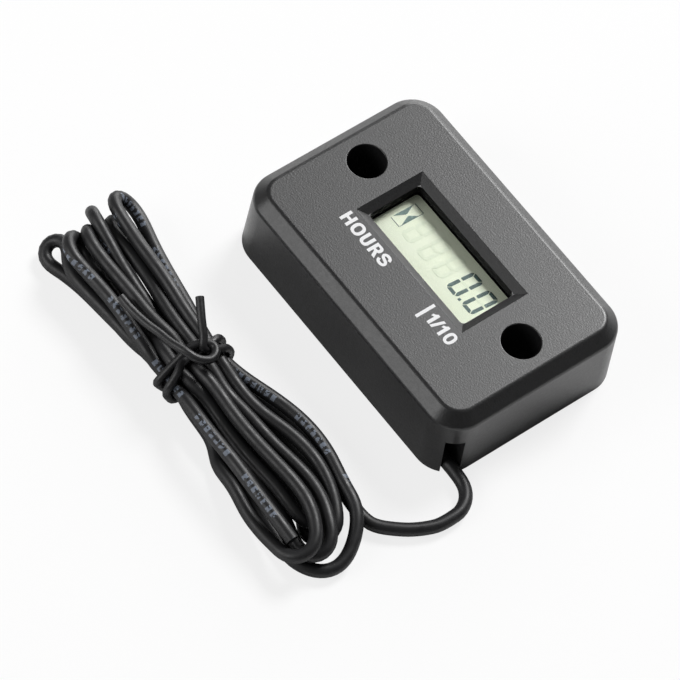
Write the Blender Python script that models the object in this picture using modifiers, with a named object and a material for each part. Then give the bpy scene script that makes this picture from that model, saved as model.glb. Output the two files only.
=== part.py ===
"""Hour meter with a liquid crystal display and its own pick-up lead, folded and tied beside it.

The meter stands on the rim of its housing at z = 0, with +X along its length in the reading
direction, +Y to the top of the figures and +Z out of its face. Metres throughout.
"""
import math

import bmesh
import bpy
from mathutils import Matrix, Vector

MM = 0.001

# Clearances
seat_gap = 0.3 * MM
close_gap = 0.2 * MM
film_gap = 0.1 * MM
cut_margin = 1.0 * MM

# Housing
body_length = 52.0 * MM
body_width = 35.0 * MM
body_height = 13.5 * MM
corner_radius = 5.3 * MM
wall_draft = 0.3 * MM
chamfer_width = 2.05 * MM
chamfer_height = 1.9 * MM
edge_radius = 0.4 * MM
wall_thickness = 1.8 * MM
face_thickness = 2.4 * MM

# Mounting screws
screw_inset = 7.3 * MM
centre_line_y = 1.2 * MM
head_bore_diameter = 6.0 * MM
screw_bore_diameter = 3.4 * MM
screw_seat_height = 4.0 * MM
boss_wall = 1.5 * MM
boss_rib_width = 1.2 * MM

# Window
window_side_gap = 2.9 * MM
window_width = 12.55 * MM
window_drop = 0.28 * MM
bevel_inset = 1.4 * MM
bevel_depth = 0.85 * MM
opening_corner = 0.7 * MM
lens_margin = 0.9 * MM
lens_thickness = 0.6 * MM
skirt_wall = 1.3 * MM
skirt_height = 0.9 * MM

# Display
film_thickness = 0.2 * MM
glass_thickness = 0.5 * MM
glass_margin = 1.2 * MM
contact_ledge = 2.0 * MM
holder_wall = 0.9 * MM
zebra_width = 1.3 * MM

# Circuit board and what it carries
board_boss_gap = 0.5 * MM
board_wall_gap = 0.7 * MM
board_thickness = 0.8 * MM
board_drop = 1.2 * MM
board_corner = 1.0 * MM
post_diameter = 3.2 * MM
post_inset = 1.7 * MM
board_screw_diameter = 1.4 * MM
board_screw_length = 3.6 * MM
board_screw_head = 2.6 * MM
board_screw_head_height = 0.9 * MM
blob_diameter = 4.0 * MM
blob_height = 1.1 * MM
crystal_diameter = 2.0 * MM
crystal_length = 6.0 * MM
chip_length = 1.6 * MM
chip_width = 0.8 * MM
capacitor_height = 0.8 * MM
resistor_height = 0.45 * MM
chip_pitch = 1.9 * MM

# Coin cell
cell_diameter = 16.0 * MM
cell_thickness = 2.5 * MM
cell_crimp = 1.2 * MM
cell_cap_step = 0.3 * MM
tab_width = 4.0 * MM
tab_thickness = 0.15 * MM

# Potting compound
potting_recess = 0.4 * MM

# Wire slot and the channel behind it
slot_width = 2.5 * MM
slot_height = 7.8 * MM
slot_inset = 2.7 * MM
channel_length = 6.7 * MM
channel_rib = 1.2 * MM

# Pick-up lead
lead_diameter = 2.1 * MM
conductor_diameter = 0.8 * MM
solder_radius = 0.9 * MM
solder_tip_radius = 0.5 * MM
route_step = 1.1 * lead_diameter
hank_height = 8.4 * MM
hank_floor_gap = 0.05 * MM
hank_rounding = 1.6 * MM
waist_x = -8.7 * MM
waist_y = -37.7 * MM
waist_half_width = 4.4 * MM
waist_half_height = 2.7 * MM
waist_length = 6.4 * MM
tie_diameter = 1.3 * MM
tie_pitch = 1.9 * MM
tie_start_turn = -0.175
tie_end_turn = 2.0
tie_steps_per_turn = 24

# Faceting of round forms
corner_segments = 8
round_sides = 40
small_sides = 20

# Heights and places that follow from the sizes above
shoulder_height = body_height - chamfer_height
face_underside = body_height - face_thickness
screw_spacing = body_length - 2 * screw_inset
window_y = centre_line_y - window_drop
window_length = screw_spacing - head_bore_diameter - 2 * window_side_gap
opening_length = window_length - 2 * bevel_inset
opening_width = window_width - 2 * bevel_inset
opening_top = body_height - bevel_depth
lens_length = opening_length + 2 * lens_margin
lens_width = opening_width + 2 * lens_margin
lens_top = face_underside - close_gap
lens_bottom = lens_top - lens_thickness
polariser_top = lens_bottom - close_gap
polariser_bottom = polariser_top - film_thickness
front_glass_top = polariser_bottom - film_gap
front_glass_bottom = front_glass_top - glass_thickness
rear_glass_top = front_glass_bottom - film_gap
rear_glass_bottom = rear_glass_top - glass_thickness
reflector_top = rear_glass_bottom - film_gap
reflector_bottom = reflector_top - film_thickness
glass_length = opening_length + 2 * glass_margin
glass_width = opening_width + 2 * glass_margin
board_top = reflector_bottom - board_drop
board_bottom = board_top - board_thickness
cavity_length = body_length - 2 * wall_thickness
cavity_width = body_width - 2 * wall_thickness
cavity_radius = corner_radius - wall_thickness
boss_radius = head_bore_diameter / 2 + boss_wall
board_length = screw_spacing - 2 * (boss_radius + board_boss_gap)
board_width = cavity_width - 2 * board_wall_gap
post_pitch_x = board_length - 2 * post_inset
post_pitch_y = board_width - 2 * post_inset
holder_low_y = window_y - glass_width / 2 - contact_ledge - close_gap - holder_wall
blob_y = (holder_low_y - board_width / 2) / 2
tab_top = board_bottom - seat_gap
cell_top = tab_top - tab_thickness - film_gap
cell_bottom = cell_top - cell_thickness
potting_top = cell_bottom - film_gap - tab_thickness - seat_gap
boss_rib_base = potting_top + close_gap
slot_y = slot_inset - body_width / 2
slot_low_y = slot_y - slot_width / 2
slot_high_y = slot_y + slot_width / 2
channel_start_x = cavity_length / 2 - channel_length
hank_middle_z = hank_floor_gap + hank_height / 2

# The lead's route, chosen by hand. Within the housing a point is given by its way in from the end of
# the housing, its way up from the slot's centre line, and its height from the board's underside, or
# in the channel from the ground. Outside, the points lie over the ground as they are.
lead_under_board = [(15.8, 0.35, -2.3), (13.4, 0.35, -2.3), (10.8, 0.28, -2.45)]
lead_in_channel = [(8.0, 0.02, 3.1), (5.2, 0.0, 1.8), (2.4, 0.0, 1.3), (-0.4, 0.0, 1.2)]
lead_outside = [
    (29.0, -15.20, 1.15), (31.0, -16.70, 1.1), (32.0, -19.20, 1.1), (31.9, -22.00, 1.1),
    (30.9, -24.80, 1.1), (29.3, -27.40, 1.1), (26.6, -30.20, 1.1),
]
# The bare conductor, from the jacket's end to the solder joint under the board
conductor_route = [(16.3, 0.5, -2.2), (17.2, 0.75, -1.9), (17.9, 1.2, -1.3), (18.1, 1.6, -0.9)]
# The tie's free end, as steps along, out and up from its last turn, chosen by hand
tie_tail = [(0.3, 0.3, 1.3), (1.5, 0.7, 3.0), (3.6, 0.6, 5.0), (5.6, 0.2, 6.6)]
# The outline of the hank on the ground, chosen by hand
hank_outline = [
    (-40.8, -35.5), (-39.6, -42.2), (-34.0, -44.2), (-24.0, -43.4), (-8.7, -42.4), (4.0, -43.9),
    (15.0, -46.4), (24.0, -45.2), (29.2, -40.0), (28.6, -34.0), (23.5, -29.8), (12.0, -28.4),
    (2.0, -30.2), (-8.7, -33.0), (-22.0, -30.6), (-33.0, -27.4), (-39.2, -27.8),
]


# Scene, collections and materials

def clear_scene():
    for old in list(bpy.data.objects):
        bpy.data.objects.remove(old, do_unlink=True)


def new_collection(name):
    group = bpy.data.collections.new(name)
    bpy.context.scene.collection.children.link(group)
    return group


def make_material(name, colour, roughness, metallic=0.0):
    material = bpy.data.materials.new(name)
    material.use_nodes = True
    shader = material.node_tree.nodes["Principled BSDF"]
    shader.inputs["Base Color"].default_value = (*colour, 1.0)
    shader.inputs["Roughness"].default_value = roughness
    shader.inputs["Metallic"].default_value = metallic
    return material


clear_scene()
parts = new_collection("hour_meter")
cutters = new_collection("cutters")

black_plastic = make_material("black_plastic", (0.035, 0.035, 0.037), 0.45)
clear_plastic = make_material("clear_plastic", (0.85, 0.88, 0.86), 0.05)
polarising_film = make_material("polarising_film", (0.72, 0.79, 0.60), 0.30)
display_glass = make_material("display_glass", (0.70, 0.78, 0.68), 0.06)
silver_film = make_material("silver_film", (0.62, 0.66, 0.58), 0.35, 0.6)
dark_plastic = make_material("dark_plastic", (0.02, 0.02, 0.02), 0.55)
elastomer = make_material("elastomer", (0.42, 0.10, 0.14), 0.70)
board_laminate = make_material("board_laminate", (0.03, 0.16, 0.06), 0.45)
epoxy = make_material("epoxy", (0.02, 0.02, 0.02), 0.30)
plated_steel = make_material("plated_steel", (0.60, 0.60, 0.58), 0.28, 1.0)
capacitor_ceramic = make_material("capacitor_ceramic", (0.45, 0.33, 0.20), 0.50)
resistor_black = make_material("resistor_black", (0.03, 0.03, 0.03), 0.40)
copper = make_material("copper", (0.72, 0.38, 0.22), 0.30, 1.0)
solder = make_material("solder", (0.65, 0.65, 0.64), 0.25, 1.0)
wire_jacket = make_material("wire_jacket", (0.025, 0.025, 0.027), 0.40)


# Modelling helpers

def object_from_bmesh(bm, name, material=None):
    """Make an object: a named part when it has a material, otherwise a hidden cutter."""
    mesh = bpy.data.meshes.new(name)
    bmesh.ops.recalc_face_normals(bm, faces=bm.faces)
    bm.to_mesh(mesh)
    bm.free()
    piece = bpy.data.objects.new(name, mesh)
    return file_object(piece, material)


def file_object(piece, material):
    if material is None:
        piece.hide_render = True
        piece.display_type = "WIRE"
        cutters.objects.link(piece)
        return piece
    piece.data.materials.clear()
    piece.data.materials.append(material)
    piece.data.shade_smooth()
    piece.data.set_sharp_from_angle(angle=math.radians(30))
    parts.objects.link(piece)
    return piece


def cube_bmesh(size_x, size_y, low_z, high_z):
    bm = bmesh.new()
    bmesh.ops.create_cube(bm, size=1.0)
    bmesh.ops.scale(bm, vec=(size_x, size_y, high_z - low_z), verts=bm.verts)
    bmesh.ops.translate(bm, vec=(0, 0, (low_z + high_z) / 2), verts=bm.verts)
    return bm


def upright_edges(bm):
    return [edge for edge in bm.edges if abs(edge.verts[0].co.z - edge.verts[1].co.z) > 1e-7]


def flat_faces(bm, height):
    return [face for face in bm.faces if all(abs(v.co.z - height) < 1e-7 for v in face.verts)]


def rounded_bmesh(size_x, size_y, radius, low_z, high_z, segments=corner_segments):
    bm = cube_bmesh(size_x, size_y, low_z, high_z)
    bmesh.ops.bevel(bm, geom=upright_edges(bm), offset=radius, offset_type="OFFSET", segments=segments,
                    profile=0.5, affect="EDGES", clamp_overlap=True, material=-1)
    return bm


def rounded_plate(name, size_x, size_y, radius, low_z, high_z, place=(0, 0), material=None):
    piece = object_from_bmesh(rounded_bmesh(size_x, size_y, radius, low_z, high_z), name, material)
    piece.location = (place[0], place[1], 0)
    return piece


def block(name, low, high, material=None):
    size = [high[i] - low[i] for i in range(3)]
    piece = object_from_bmesh(cube_bmesh(size[0], size[1], low[2], high[2]), name, material)
    piece.location = ((low[0] + high[0]) / 2, (low[1] + high[1]) / 2, 0)
    return piece


def cylinder_bmesh(radius, low_z, high_z, sides=round_sides, top_radius=None):
    bm = bmesh.new()
    bmesh.ops.create_cone(bm, cap_ends=True, cap_tris=False, segments=sides, radius1=radius,
                          radius2=radius if top_radius is None else top_radius, depth=high_z - low_z)
    bmesh.ops.translate(bm, vec=(0, 0, (low_z + high_z) / 2), verts=bm.verts)
    return bm


def cylinder(name, radius, low_z, high_z, place=(0, 0), sides=round_sides, material=None):
    piece = object_from_bmesh(cylinder_bmesh(radius, low_z, high_z, sides), name, material)
    piece.location = (place[0], place[1], 0)
    return piece


def boolean(target, tool, operation="DIFFERENCE"):
    modifier = target.modifiers.new(operation.lower() + " " + tool.name, "BOOLEAN")
    modifier.operation = operation
    modifier.solver = "EXACT"
    modifier.object = tool


def curve_object(name, splines_points, cyclic=False, flat=False):
    curve = bpy.data.curves.new(name, "CURVE")
    curve.dimensions = "2D" if flat else "3D"
    for points in splines_points:
        spline = curve.splines.new("POLY")
        spline.points.add(len(points) - 1)
        for point, place in zip(spline.points, points):
            point.co = (*place, 1.0) if len(place) == 3 else (*place, 0.0, 1.0)
        spline.use_cyclic_u = cyclic
    piece = bpy.data.objects.new(name + " curve", curve)
    bpy.context.scene.collection.objects.link(piece)
    return piece


def curve_to_mesh(piece, name, material):
    """Turn a curve into a closed mesh object of the given name, with its loose caps welded."""
    bpy.context.view_layer.update()
    evaluated = piece.evaluated_get(bpy.context.evaluated_depsgraph_get())
    mesh = bpy.data.meshes.new_from_object(evaluated)
    mesh.name = name
    mesh.transform(piece.matrix_world)
    bpy.data.objects.remove(piece, do_unlink=True)
    bm = bmesh.new()
    bm.from_mesh(mesh)
    bmesh.ops.remove_doubles(bm, verts=bm.verts, dist=0.001 * MM)
    bmesh.ops.dissolve_limit(bm, angle_limit=math.radians(0.5), verts=bm.verts, edges=bm.edges)
    bmesh.ops.recalc_face_normals(bm, faces=bm.faces)
    bm.to_mesh(mesh)
    bm.free()
    return file_object(bpy.data.objects.new(name, mesh), material)


def tube(name, points, diameter, material, resolution=2):
    piece = curve_object(name, [points])
    piece.data.bevel_depth = diameter / 2
    piece.data.bevel_resolution = resolution
    piece.data.use_fill_caps = True
    return curve_to_mesh(piece, name, material)


def flat_outline(name, points, low_z, high_z, material):
    """A closed outline drawn in the XY plane and extruded between two heights."""
    piece = curve_object(name, [points], cyclic=True, flat=True)
    piece.data.fill_mode = "BOTH"
    piece.data.extrude = (high_z - low_z) / 2
    piece.location.z = (low_z + high_z) / 2
    return curve_to_mesh(piece, name, material)


def spline_point(before, start, end, after, share):
    """A point of a Catmull-Rom curve between start and end."""
    a = (end - before) * 0.5
    b = (after - start) * 0.5
    square = share * share
    cube = square * share
    return (start * (2 * cube - 3 * square + 1) + a * (cube - 2 * square + share)
            + end * (3 * square - 2 * cube) + b * (cube - square))


def smooth_route(route, step, cyclic=False):
    """Points about one step apart on a smooth curve through a route given in millimetres."""
    knots = [Vector(point) * MM for point in route]
    count = len(knots)
    spans = count if cyclic else count - 1
    points = []
    for i in range(spans):
        near = [knots[(i + k) % count] if cyclic else knots[min(max(i + k, 0), count - 1)]
                for k in (-1, 0, 1, 2)]
        pieces = max(1, round((near[2] - near[1]).length / step))
        points += [spline_point(*near, k / pieces) for k in range(pieces)]
    if not cyclic:
        points.append(knots[-1])
    return points


# Housing

def housing_block():
    """The outer form: a drafted, rounded block with an upright wall and a chamfered shoulder."""
    bm = rounded_bmesh(body_length, body_width, corner_radius, 0, shoulder_height)
    top = flat_faces(bm, shoulder_height)
    length_share = (body_length - 2 * wall_draft) / body_length
    width_share = (body_width - 2 * wall_draft) / body_width
    bmesh.ops.scale(bm, vec=(length_share, width_share, 1), verts=top[0].verts)
    bmesh.ops.inset_region(bm, faces=top, thickness=chamfer_width, use_even_offset=True)
    bmesh.ops.translate(bm, vec=(0, 0, chamfer_height), verts=top[0].verts)
    ridges = [edge for edge in bm.edges
              if all(v.co.z > shoulder_height - 1e-7 for v in edge.verts)
              and abs(edge.verts[0].co.z - edge.verts[1].co.z) < 1e-7]
    bmesh.ops.bevel(bm, geom=ridges, offset=edge_radius, offset_type="OFFSET", segments=3, profile=0.5,
                    affect="EDGES", clamp_overlap=True, material=-1)
    return object_from_bmesh(bm, "housing", black_plastic)


def boss_places():
    return [(side * screw_spacing / 2, centre_line_y) for side in (-1, 1)]


def post_places():
    return [(sx * post_pitch_x / 2, sy * post_pitch_y / 2) for sx in (-1, 1) for sy in (-1, 1)]


def housing_core():
    """The hollow inside the tub, with the bosses, ribs, posts and window skirt left standing."""
    below = -cut_margin
    above = face_underside + cut_margin
    core = rounded_plate("housing core", cavity_length, cavity_width, cavity_radius, below, face_underside)
    for index, (x, y) in enumerate(boss_places()):
        boss = cylinder(f"boss core {index}", boss_radius, below - cut_margin, above, (x, y))
        boolean(core, boss)
        wall_x = math.copysign(cavity_length / 2 + cut_margin, x)
        rib = block(f"boss rib {index}", (min(x, wall_x), y - boss_rib_width / 2, boss_rib_base),
                    (max(x, wall_x), y + boss_rib_width / 2, above))
        boolean(core, rib)
    for index, (x, y) in enumerate(post_places()):
        post = cylinder(f"post core {index}", post_diameter / 2, board_top + close_gap, above, (x, y),
                        small_sides)
        boolean(core, post)
    skirt = rounded_plate("window skirt", lens_length + 2 * (close_gap + skirt_wall),
                          lens_width + 2 * (close_gap + skirt_wall), opening_corner,
                          face_underside - skirt_height, above, (0, window_y))
    boolean(core, skirt)
    rib = block("channel rib", (channel_start_x, slot_high_y, below - cut_margin),
                (cavity_length / 2 + cut_margin, slot_high_y + channel_rib, slot_height + channel_rib))
    boolean(core, rib)
    return core


def window_bevel():
    """The sloping faces from the front face down to the opening, carried on above the face."""
    bm = cube_bmesh(opening_length, opening_width, opening_top, body_height + bevel_depth)
    top = flat_faces(bm, body_height + bevel_depth)[0]
    flare = 2 * bevel_inset * (body_height + bevel_depth - opening_top) / bevel_depth
    bmesh.ops.scale(bm, vec=((opening_length + flare) / opening_length,
                             (opening_width + flare) / opening_width, 1), verts=top.verts)
    piece = object_from_bmesh(bm, "window bevel")
    piece.location.y = window_y
    return piece


def make_housing():
    housing = housing_block()
    boolean(housing, housing_core())
    boolean(housing, window_bevel())
    opening = rounded_plate("window opening", opening_length, opening_width, opening_corner,
                            face_underside - skirt_height - cut_margin, opening_top + film_gap,
                            (0, window_y))
    boolean(housing, opening)
    lens_seat = rounded_plate("lens seat", lens_length + 2 * close_gap, lens_width + 2 * close_gap,
                              opening_corner, face_underside - skirt_height - cut_margin,
                              face_underside, (0, window_y))
    boolean(housing, lens_seat)
    for index, (x, y) in enumerate(boss_places()):
        head = cylinder(f"head bore {index}", head_bore_diameter / 2, screw_seat_height,
                        body_height + cut_margin, (x, y))
        boolean(housing, head)
        shank = cylinder(f"screw bore {index}", screw_bore_diameter / 2, -cut_margin,
                         screw_seat_height + cut_margin, (x, y), small_sides)
        boolean(housing, shank)
    for index, (x, y) in enumerate(post_places()):
        pilot = cylinder(f"pilot bore {index}", board_screw_diameter / 2 + close_gap, board_top,
                         board_bottom + board_screw_length + close_gap, (x, y), small_sides)
        boolean(housing, pilot)
    slot = block("wire slot", (channel_start_x - lead_diameter, slot_low_y, -cut_margin),
                 (body_length / 2 + cut_margin, slot_high_y, slot_height))
    boolean(housing, slot)
    return housing


# Window and display

def window_plate(name, length, width, low_z, high_z, material, shift_y=0.0):
    return rounded_plate(name, length, width, opening_corner, low_z, high_z,
                         (0, window_y + shift_y), material)


def make_display():
    window_plate("window_lens", lens_length, lens_width, lens_bottom, lens_top, clear_plastic)
    window_plate("display_polariser", opening_length, opening_width, polariser_bottom, polariser_top,
                 polarising_film)
    ledge_shift = -contact_ledge / 2
    window_plate("display_front_glass", glass_length, glass_width + contact_ledge, front_glass_bottom,
                 front_glass_top, display_glass, ledge_shift)
    window_plate("display_rear_glass", glass_length, glass_width, rear_glass_bottom, rear_glass_top,
                 display_glass)
    window_plate("display_reflector", opening_length, opening_width, reflector_bottom, reflector_top,
                 silver_film)
    strip_y = window_y - glass_width / 2 - contact_ledge + close_gap
    block("zebra_strip", (-opening_length / 2, strip_y, board_top + close_gap),
          (opening_length / 2, strip_y + zebra_width, front_glass_bottom - film_gap), elastomer)
    make_display_holder(ledge_shift)


def make_display_holder(shift_y):
    """A frame round the glass that stands on the board."""
    inner_length = glass_length + 2 * close_gap
    inner_width = glass_width + contact_ledge + 2 * close_gap
    place = (0, window_y + shift_y)
    holder = rounded_plate("display_holder", inner_length + 2 * holder_wall,
                           inner_width + 2 * holder_wall, opening_corner, board_top + close_gap,
                           front_glass_top, place, dark_plastic)
    hollow = rounded_plate("holder hollow", inner_length, inner_width, opening_corner, board_top,
                           front_glass_top + cut_margin, place)
    boolean(holder, hollow)


# Circuit board

def make_board():
    board = rounded_plate("circuit_board", board_length, board_width, board_corner, board_bottom,
                          board_top, (0, 0), board_laminate)
    for index, (x, y) in enumerate(post_places()):
        hole = cylinder(f"board hole {index}", board_screw_diameter / 2 + close_gap,
                        board_bottom - cut_margin, board_top + cut_margin, (x, y), small_sides)
        boolean(board, hole)


def make_board_screws():
    head_top = board_bottom - close_gap
    head_step = (board_screw_head - board_screw_diameter) / 2
    for index, place in enumerate(post_places(), 1):
        bm = cylinder_bmesh(board_screw_head / 2, head_top - board_screw_head_height, head_top,
                            small_sides)
        under_head = flat_faces(bm, head_top)
        bmesh.ops.inset_region(bm, faces=under_head, thickness=head_step, use_even_offset=True)
        shank = bmesh.ops.extrude_discrete_faces(bm, faces=under_head)["faces"][0]
        bmesh.ops.translate(bm, vec=(0, 0, board_screw_length), verts=shank.verts)
        screw = object_from_bmesh(bm, f"board_screw_{index}", plated_steel)
        screw.location = (*place, 0)


def make_chips(name, height, places, material):
    for index, place in enumerate(places, 1):
        bm = cube_bmesh(chip_length, chip_width, board_top + close_gap, board_top + close_gap + height)
        chip = object_from_bmesh(bm, f"{name}_{index}", material)
        chip.location = (*place, 0)


def make_components():
    bm = bmesh.new()
    bmesh.ops.create_uvsphere(bm, u_segments=24, v_segments=12, radius=1.0)
    bmesh.ops.bisect_plane(bm, geom=bm.verts[:] + bm.edges[:] + bm.faces[:], plane_co=(0, 0, 0),
                           plane_no=(0, 0, -1), clear_outer=True)
    bmesh.ops.holes_fill(bm, edges=[edge for edge in bm.edges if edge.is_boundary])
    bmesh.ops.scale(bm, vec=(blob_diameter / 2, blob_diameter / 2, blob_height), verts=bm.verts)
    blob = object_from_bmesh(bm, "controller_blob", epoxy)
    blob.location = (0, blob_y, board_top + close_gap)

    first_row = blob_y + chip_pitch / 2
    second_row = blob_y - chip_pitch / 2
    near_x = blob_diameter / 2 + close_gap + chip_length / 2
    far_x = near_x + chip_length + close_gap
    make_chips("chip_capacitor", capacitor_height,
               [(-near_x, first_row), (-near_x, second_row), (-far_x, first_row)], capacitor_ceramic)
    make_chips("chip_resistor", resistor_height,
               [(near_x, second_row), (far_x, second_row), (-far_x, second_row)], resistor_black)

    can = object_from_bmesh(cylinder_bmesh(crystal_diameter / 2, -crystal_length / 2,
                                           crystal_length / 2, small_sides), "crystal_can",
                            plated_steel)
    can.rotation_euler = (0, math.pi / 2, 0)
    can.location = (blob_diameter / 2 + seat_gap + crystal_length / 2, first_row,
                    board_top + close_gap + crystal_diameter / 2)


# Coin cell and its tabs

def make_cell():
    """The can, with its negative cap towards the board, turned from one profile."""
    radius = cell_diameter / 2
    cap_radius = radius - cell_crimp
    profile = [(0, cell_thickness), (cap_radius, cell_thickness),
               (cap_radius, cell_thickness - cell_cap_step),
               (radius - cell_cap_step, cell_thickness - cell_cap_step),
               (radius, cell_thickness - 2 * cell_cap_step), (radius, cell_cap_step),
               (radius - cell_cap_step, 0), (0, 0)]
    bm = bmesh.new()
    corners = [bm.verts.new((r, 0, z)) for r, z in profile]
    for start, end in zip(corners, corners[1:]):
        bm.edges.new((start, end))
    mesh = bpy.data.meshes.new("coin_cell")
    bm.to_mesh(mesh)
    bm.free()
    cell = bpy.data.objects.new("coin_cell", mesh)
    file_object(cell, plated_steel)
    turn = cell.modifiers.new("turn", "SCREW")
    turn.steps = round_sides
    turn.render_steps = round_sides
    turn.use_merge_vertices = True
    turn.merge_threshold = 0.01 * MM
    cell.location = (0, centre_line_y, cell_bottom)


def make_tab(name, side, start_x, low_z, foot_top):
    """A strip against the cell, running out past its edge and up to the board."""
    outer = cell_diameter / 2 + seat_gap + tab_thickness
    points = [(start_x, low_z), (outer, low_z), (outer, foot_top), (outer - tab_thickness, foot_top),
              (outer - tab_thickness, low_z + tab_thickness), (start_x, low_z + tab_thickness)]
    outline = [(side * x, z) for x, z in points]
    piece = curve_object(name, [outline], cyclic=True, flat=True)
    piece.data.fill_mode = "BOTH"
    piece.data.extrude = tab_width / 2
    piece.rotation_euler = (math.pi / 2, 0, 0)
    piece.location.y = centre_line_y
    curve_to_mesh(piece, name, plated_steel)


def make_tabs():
    foot_top = board_bottom - film_gap
    make_tab("cell_tab_positive", -1, -tab_width / 2, cell_bottom - film_gap - tab_thickness, foot_top)
    make_tab("cell_tab_negative", 1, -tab_width / 2, cell_top + film_gap, foot_top)


# Potting compound

def make_potting():
    """The resin that fills the back, level inside the rim and clear of the wire channel."""
    potting = rounded_plate("potting_compound", cavity_length - 2 * close_gap,
                            cavity_width - 2 * close_gap, cavity_radius - close_gap, potting_recess,
                            potting_top, (0, 0), epoxy)
    for index, (x, y) in enumerate(boss_places()):
        clearance = cylinder(f"boss clearance {index}", boss_radius + close_gap, 0,
                             potting_top + cut_margin, (x, y))
        boolean(potting, clearance)
    pocket_x = channel_start_x - lead_diameter - close_gap
    pocket = block("channel clearance", (pocket_x, -cavity_width, 0),
                   (cavity_length, slot_high_y + channel_rib + close_gap, potting_top + cut_margin))
    boolean(potting, pocket)


# Pick-up lead

def from_slot(route, base_height=0.0):
    """A route's points in millimetres, counted from the end of the housing and the slot's line."""
    return [((body_length / 2) / MM - x, slot_y / MM + y, base_height / MM + z) for x, y, z in route]


def make_lead():
    route = from_slot(lead_under_board, board_bottom) + from_slot(lead_in_channel) + lead_outside
    tube("pickup_lead", smooth_route(route, route_step), lead_diameter, wire_jacket)
    bare_end = smooth_route(from_slot(conductor_route, board_bottom), conductor_diameter)
    tube("lead_conductor", bare_end, conductor_diameter, copper)
    end = bare_end[-1]
    joint = object_from_bmesh(cylinder_bmesh(solder_tip_radius, end.z + close_gap,
                                             board_bottom - film_gap, small_sides,
                                             top_radius=solder_radius), "lead_solder_joint", solder)
    joint.location = (end.x - close_gap, end.y + close_gap, 0)


def make_hank():
    outline = smooth_route([(x, y, 0) for x, y in hank_outline], 1.5 * lead_diameter, cyclic=True)
    hank = flat_outline("lead_hank", [(p.x, p.y) for p in outline], hank_floor_gap,
                        hank_floor_gap + hank_height, wire_jacket)
    rounding = hank.modifiers.new("rounding", "BEVEL")
    rounding.width = hank_rounding
    rounding.segments = 3
    rounding.limit_method = "ANGLE"
    rounding.angle_limit = math.radians(60)
    collar = block("waist collar", (waist_x - waist_length / 2, waist_y - 3 * waist_half_width,
                                    -cut_margin),
                   (waist_x + waist_length / 2, waist_y + 3 * waist_half_width,
                    hank_height + 2 * cut_margin))
    bm = cylinder_bmesh(1.0, -waist_length, waist_length, round_sides)
    bmesh.ops.rotate(bm, cent=(0, 0, 0), matrix=Matrix.Rotation(math.pi / 2, 3, "Y"), verts=bm.verts)
    bmesh.ops.scale(bm, vec=(1, waist_half_width, waist_half_height), verts=bm.verts)
    waist = object_from_bmesh(bm, "waist form")
    waist.location = (waist_x, waist_y, hank_middle_z)
    boolean(collar, waist)
    boolean(hank, collar)


def make_tie():
    """Two turns of thin wire round the waist of the hank, with one end standing up."""
    reach = close_gap + tie_diameter / 2
    half_width = waist_half_width + reach
    half_height = waist_half_height + reach
    steps = round((tie_end_turn - tie_start_turn) * tie_steps_per_turn)
    middle_turn = (tie_start_turn + tie_end_turn) / 2
    points = []
    for i in range(steps + 1):
        turn = tie_start_turn + (tie_end_turn - tie_start_turn) * i / steps
        angle = 2 * math.pi * turn
        points.append(Vector((waist_x - (turn - middle_turn) * tie_pitch,
                              waist_y + half_width * math.cos(angle),
                              hank_middle_z + half_height * math.sin(angle))))
    root = points[-1]
    points += [root + Vector((-along, out, up)) * MM for along, out, up in tie_tail]
    tube("hank_tie", points, tie_diameter, wire_jacket)


make_housing()
make_display()
make_board()
make_board_screws()
make_components()
make_cell()
make_tabs()
make_potting()
make_lead()
make_hank()
make_tie()
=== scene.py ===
# %% [markdown]
# # Hour meter with its pick-up lead
# The part is a small hour meter for small engines: a moulded black tub with a chamfered face, two
# screw holes, a bevelled window over a liquid crystal display, and a thin lead folded into a hank.
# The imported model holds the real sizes. This script gives it its looks, in the same frame, in metres.

# %% Load the frame
import math

import bmesh
import bpy
import numpy as np
from mathutils import Matrix, Vector


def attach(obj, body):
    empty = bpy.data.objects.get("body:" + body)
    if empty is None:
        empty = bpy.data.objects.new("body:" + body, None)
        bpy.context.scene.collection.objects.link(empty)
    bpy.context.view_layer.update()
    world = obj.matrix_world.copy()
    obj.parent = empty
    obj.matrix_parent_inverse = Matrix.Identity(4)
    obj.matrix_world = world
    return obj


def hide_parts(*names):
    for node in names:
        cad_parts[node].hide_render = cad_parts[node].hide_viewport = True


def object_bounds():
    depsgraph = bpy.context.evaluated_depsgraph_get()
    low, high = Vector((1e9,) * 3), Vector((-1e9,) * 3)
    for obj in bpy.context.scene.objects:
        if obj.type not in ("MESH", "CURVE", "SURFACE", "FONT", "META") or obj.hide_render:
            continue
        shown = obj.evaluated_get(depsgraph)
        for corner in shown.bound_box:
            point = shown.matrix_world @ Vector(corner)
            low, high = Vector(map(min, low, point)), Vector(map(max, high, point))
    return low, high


MM = 0.001
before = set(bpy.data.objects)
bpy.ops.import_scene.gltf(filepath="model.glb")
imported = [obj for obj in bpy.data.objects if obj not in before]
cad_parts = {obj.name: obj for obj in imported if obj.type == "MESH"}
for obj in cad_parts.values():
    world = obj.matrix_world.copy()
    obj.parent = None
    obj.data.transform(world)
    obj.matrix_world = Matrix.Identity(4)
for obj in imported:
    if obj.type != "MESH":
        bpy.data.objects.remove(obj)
cad_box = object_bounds()
print("CAD nodes:", len(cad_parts))

# %% [markdown]
# ## Camera
# The photograph looks down on the face from its lower right corner with a long lens. The directions
# were fitted to the housing's corners, the window and the screw holes, to about one pixel, so they
# aren't rounded to neat angles.

# %% Camera
view_right = Vector((0.60132, 0.78904, 0.12581))
view_up = Vector((-0.71629, 0.46256, 0.52246))
view_back = Vector((0.35405, -0.40428, 0.84333))
off_right, off_up, stand_off = 13.617, 9.774, 750
aim = (Vector((0, 0, 8)) - off_right * view_right - off_up * view_up) * MM

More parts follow.
